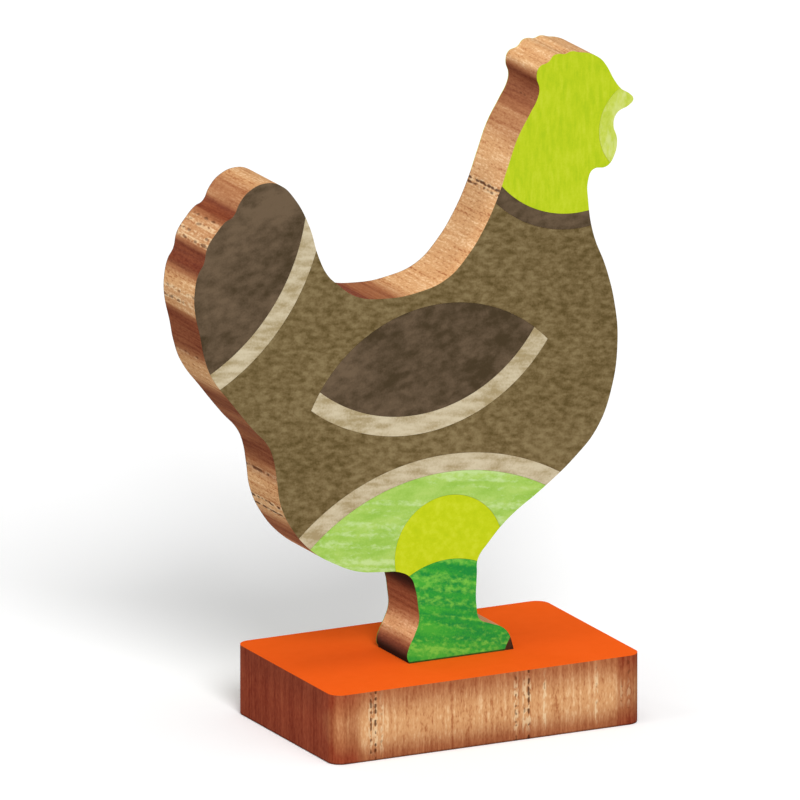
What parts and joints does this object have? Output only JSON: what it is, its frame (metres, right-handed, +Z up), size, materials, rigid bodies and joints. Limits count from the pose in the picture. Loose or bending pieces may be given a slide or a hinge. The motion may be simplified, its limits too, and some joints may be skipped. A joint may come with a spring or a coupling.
{
  "type": "board hen figure on a block stand",
  "caption": "Thick sawn-board hen faced with cut papers, standing on a rounded block with an orange top; the figure lifts off the dowels that locate it.",
  "frame": {"origin": "middle of the stand's underside, on the surface that it stands on", "axes": "+Z up; +X the way the hen looks, along the stand's long side; -Y out of the hen's front face"},
  "size_m": [0.1211, 0.0544, 0.1695],
  "materials": {
    "stand_wood": "sawn and sanded block, dark scorched edges, open pores, thin satin oil",
    "orange_sheet": "even matt orange facing",
    "dowel_wood": "plain turned beech dowel",
    "figure_wood": "sawn rim, grain across the thickness, dark in the hollows, satin",
    "lime_paper": "matt, fine upright fibres",
    "pale_lime_paper": "matt, streaky pale rubbing",
    "olive_paper": "matt felted packing paper, mottled",
    "brown_paper": "matt felted dark paper, mottled",
    "cream_paper": "matt laid paper, lightly marbled",
    "yellow_green_paper": "matt, smooth",
    "light_green_paper": "matt, whitish crayon streaks",
    "grass_green_paper": "matt, yellow-green crayon streaks"
  },
  "bodies": {
    "stand": {"base_block": "stand_wood", "base_top_sheet": "orange_sheet", "rear_dowel": "dowel_wood", "front_dowel": "dowel_wood"},
    "hen": {"figure_board": "figure_wood", "front_beak_paper": "pale_lime_paper", "front_head_paper": "lime_paper", "front_collar_paper": "brown_paper", "front_wing_paper": "brown_paper", "front_wing_band_paper": "cream_paper", "front_leg_paper": "grass_green_paper", "front_thigh_paper": "yellow_green_paper", "front_belly_paper": "light_green_paper", "front_belly_band_paper": "cream_paper", "front_tail_paper": "brown_paper", "front_tail_band_paper": "cream_paper", "front_body_paper": "olive_paper", "back_beak_paper": "pale_lime_paper", "back_head_paper": "lime_paper", "back_collar_paper": "brown_paper", "back_wing_paper": "brown_paper", "back_wing_band_paper": "cream_paper", "back_leg_paper": "grass_green_paper", "back_thigh_paper": "yellow_green_paper", "back_belly_paper": "light_green_paper", "back_belly_band_paper": "cream_paper", "back_tail_paper": "brown_paper", "back_tail_band_paper": "cream_paper", "back_body_paper": "olive_paper"}
  },
  "joints": [
    {"name": "hen_lift", "type": "slide", "parent": "stand", "child": "hen", "axis": [0, 0, 1], "range_m": [0, 0.03]}
  ]
}
